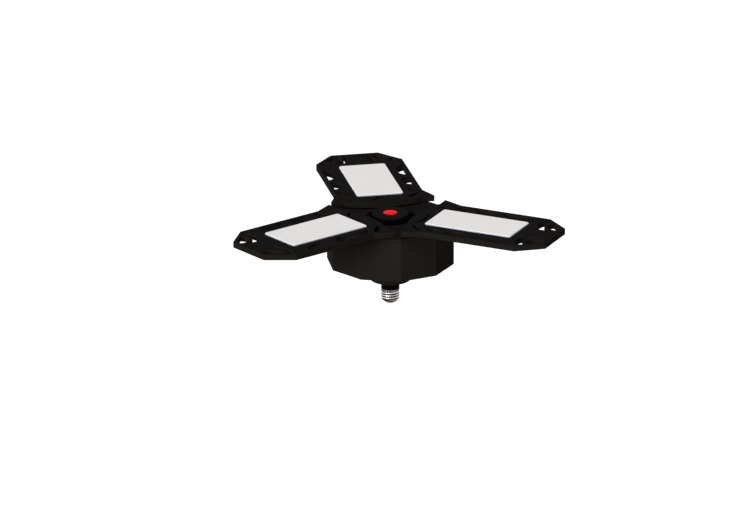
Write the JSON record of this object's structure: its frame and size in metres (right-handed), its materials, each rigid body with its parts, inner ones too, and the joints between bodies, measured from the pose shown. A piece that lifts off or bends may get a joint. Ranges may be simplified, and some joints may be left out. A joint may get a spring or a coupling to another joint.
{
  "type": "fold-out pendant lamp",
  "caption": "Black ceiling lamp that screws into a lamp socket, with flat lit leaves that tilt on hinges around a ten-sided hub.",
  "frame": {"origin": "on the lamp axis, at the upper edge of the metal shell of the screw cap", "axes": "+Z along the lamp axis from the cap towards the lit side, +Y through a corner of the ten-sided hub, close to the first leaf"},
  "size_m": [0.463, 0.4274, 0.1387],
  "materials": {
    "leaf_black": "satin moulded black",
    "hub_black": "satin moulded black",
    "plate_black": "satin moulded black",
    "skirt_black": "deep matt black",
    "neck_black": "satin moulded black",
    "diffuser_white": "milky, softly frosted",
    "lens_red": "clear red, polished",
    "back_aluminium": "rolled, slightly dulled",
    "board_white": "white solder mask",
    "chip_yellow": "phosphor gel",
    "pin_steel": "ground steel",
    "washer_dark": "dark friction washer",
    "bracket_steel": "black painted, pressed steel",
    "screw_steel": "zinc plated",
    "pad_rubber": "soft black rubber",
    "shell_nickel": "bright nickel plating",
    "insulator_glass": "black vitreous, glossy",
    "contact_brass": "tinned brass button",
    "board_green": "green solder mask",
    "winding_dark": "taped winding on ferrite",
    "winding_copper": "enamelled copper wire",
    "capacitor_blue": "printed sleeve, plain dark blue",
    "fuse_glass": "clear tube with end caps"
  },
  "bodies": {
    "hub": {"hub_housing": "hub_black", "hub_top_plate": "plate_black", "top_plate_screws": "screw_steel", "rest_pads": "pad_rubber", "centre_skirt": "skirt_black", "centre_cap": "plate_black", "indicator_lens": "lens_red", "back_cover": "hub_black", "back_cover_screws": "screw_steel", "cap_neck": "neck_black", "neck_screws": "screw_steel", "cap_shell": "shell_nickel", "cap_insulator": "insulator_glass", "cap_contact": "contact_brass", "driver_board": "board_green", "driver_screws": "screw_steel", "transformer": "winding_dark", "capacitors": "capacitor_blue", "choke": "winding_copper", "fuse": "fuse_glass", "hinge_bracket_1": "bracket_steel", "bracket_screws_1": "screw_steel", "hinge_bracket_2": "bracket_steel", "bracket_screws_2": "screw_steel", "hinge_bracket_3": "bracket_steel", "bracket_screws_3": "screw_steel"},
    "leaf_1": {"leaf_frame_1": "leaf_black", "back_plate_1": "back_aluminium", "back_plate_screws_1": "screw_steel", "led_board_1": "board_white", "led_chips_1": "chip_yellow", "diffuser_1": "diffuser_white", "hinge_pins_1": "pin_steel", "hinge_washers_1": "washer_dark"},
    "leaf_2": {"leaf_frame_2": "leaf_black", "back_plate_2": "back_aluminium", "back_plate_screws_2": "screw_steel", "led_board_2": "board_white", "led_chips_2": "chip_yellow", "diffuser_2": "diffuser_white", "hinge_pins_2": "pin_steel", "hinge_washers_2": "washer_dark"},
    "leaf_3": {"leaf_frame_3": "leaf_black", "back_plate_3": "back_aluminium", "back_plate_screws_3": "screw_steel", "led_board_3": "board_white", "led_chips_3": "chip_yellow", "diffuser_3": "diffuser_white", "hinge_pins_3": "pin_steel", "hinge_washers_3": "washer_dark"}
  },
  "joints": [
    {"name": "leaf_1_tilt", "type": "hinge", "parent": "hub", "child": "leaf_1", "pos_m": [-0.0024, 0.05294, 0.1094], "axis": [0.999, 0.0454, 0], "range_deg": [0, 90]},
    {"name": "leaf_2_tilt", "type": "hinge", "parent": "hub", "child": "leaf_2", "pos_m": [-0.04595, -0.02642, 0.1094], "axis": [-0.4985, 0.8669, 0], "range_deg": [0, 90]},
    {"name": "leaf_3_tilt", "type": "hinge", "parent": "hub", "child": "leaf_3", "pos_m": [0.04378, -0.02987, 0.1094], "axis": [-0.5635, -0.8261, 0], "range_deg": [0, 90]}
  ]
}
